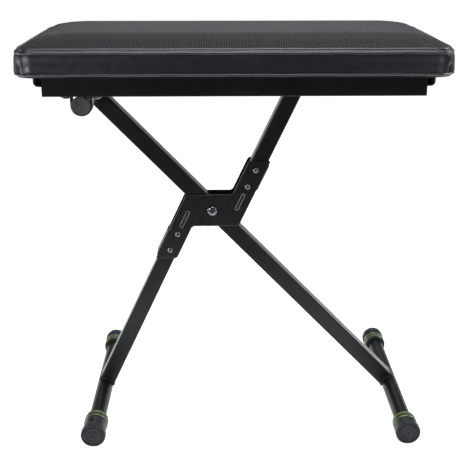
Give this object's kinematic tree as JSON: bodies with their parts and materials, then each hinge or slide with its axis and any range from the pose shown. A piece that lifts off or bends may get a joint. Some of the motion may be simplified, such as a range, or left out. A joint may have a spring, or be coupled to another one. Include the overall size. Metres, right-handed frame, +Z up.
{
  "type": "keyboard bench",
  "caption": "Padded folding bench on a single folding X frame with offset pivot plates, notched height setting and capped foot tubes.",
  "frame": {"origin": "on the floor under the middle of the seat", "axes": "+Z up, +X along the seat to the right as pictured, +Y away from the viewer across the seat"},
  "size_m": [0.61, 0.354, 0.6091],
  "materials": {
    "vinyl": "soft black upholstery vinyl, low sheen",
    "plywood": "raw plywood",
    "black_paint": "satin black powder coat",
    "black_plastic": "moulded, semi-matt",
    "grey_plastic": "moulded, semi-matt",
    "green_rubber": "matt",
    "nylon": "natural nylon",
    "black_zinc": "black zinc plated"
  },
  "bodies": {
    "long_leg": {"hinge_bar": "black_paint", "hinge_bar_plug_front": "grey_plastic", "hinge_bar_plug_rear": "grey_plastic", "long_leg_tube": "black_paint", "pivot_bush": "nylon", "right_foot_tube": "black_paint", "right_front_foot_cap": "black_plastic", "right_front_foot_ring_1": "green_rubber", "right_front_foot_ring_2": "green_rubber", "right_rear_foot_cap": "black_plastic", "right_rear_foot_ring_1": "green_rubber", "right_rear_foot_ring_2": "green_rubber"},
    "short_leg": {"left_foot_tube": "black_paint", "left_front_foot_cap": "black_plastic", "left_front_foot_ring_1": "green_rubber", "left_front_foot_ring_2": "green_rubber", "left_rear_foot_cap": "black_plastic", "left_rear_foot_ring_1": "green_rubber", "left_rear_foot_ring_2": "green_rubber", "lock_bar": "black_paint", "pivot_bolt": "black_zinc", "pivot_nut": "black_zinc", "pivot_plate_front": "black_paint", "pivot_plate_rear": "black_paint", "plate_lower_1_bolt": "black_zinc", "plate_lower_1_nut": "black_zinc", "plate_lower_2_bolt": "black_zinc", "plate_lower_2_nut": "black_zinc", "plate_upper_1_bolt": "black_zinc", "plate_upper_1_nut": "black_zinc", "plate_upper_2_bolt": "black_zinc", "plate_upper_2_nut": "black_zinc", "short_leg_lower_tube": "black_paint", "short_leg_upper_tube": "black_paint"},
    "seat": {"end_bar_left": "black_paint", "end_bar_right": "black_paint", "hinge_strap_front": "black_paint", "hinge_strap_rear": "black_paint", "notch_plate_front": "black_paint", "notch_plate_rear": "black_paint", "notch_plate_screw_front_1": "black_zinc", "notch_plate_screw_front_2": "black_zinc", "notch_plate_screw_rear_1": "black_zinc", "notch_plate_screw_rear_2": "black_zinc", "rail_front": "black_paint", "rail_rear": "black_paint", "rail_screw_front_1": "black_zinc", "rail_screw_front_2": "black_zinc", "rail_screw_rear_1": "black_zinc", "rail_screw_rear_2": "black_zinc", "seat_board": "plywood", "seat_cushion": "vinyl", "strap_bolt_front_1": "black_zinc", "strap_bolt_front_2": "black_zinc", "strap_bolt_rear_1": "black_zinc", "strap_bolt_rear_2": "black_zinc"}
  },
  "joints": [
    {"name": "leg_cross", "type": "hinge", "parent": "long_leg", "child": "short_leg", "pos_m": [-0.0336, 0, 0.32536], "axis": [0, 1, 0], "range_deg": [-69, 28.4]},
    {"name": "seat_hinge", "type": "hinge", "parent": "long_leg", "child": "seat", "pos_m": [-0.21531, 0, 0.51314], "axis": [0, 1, 0], "range_deg": [-29.7, 12.3]}
  ],
  "couplings": [
    {"joint": "seat_hinge", "follows": "leg_cross", "ratio": 0.4295}
  ]
}
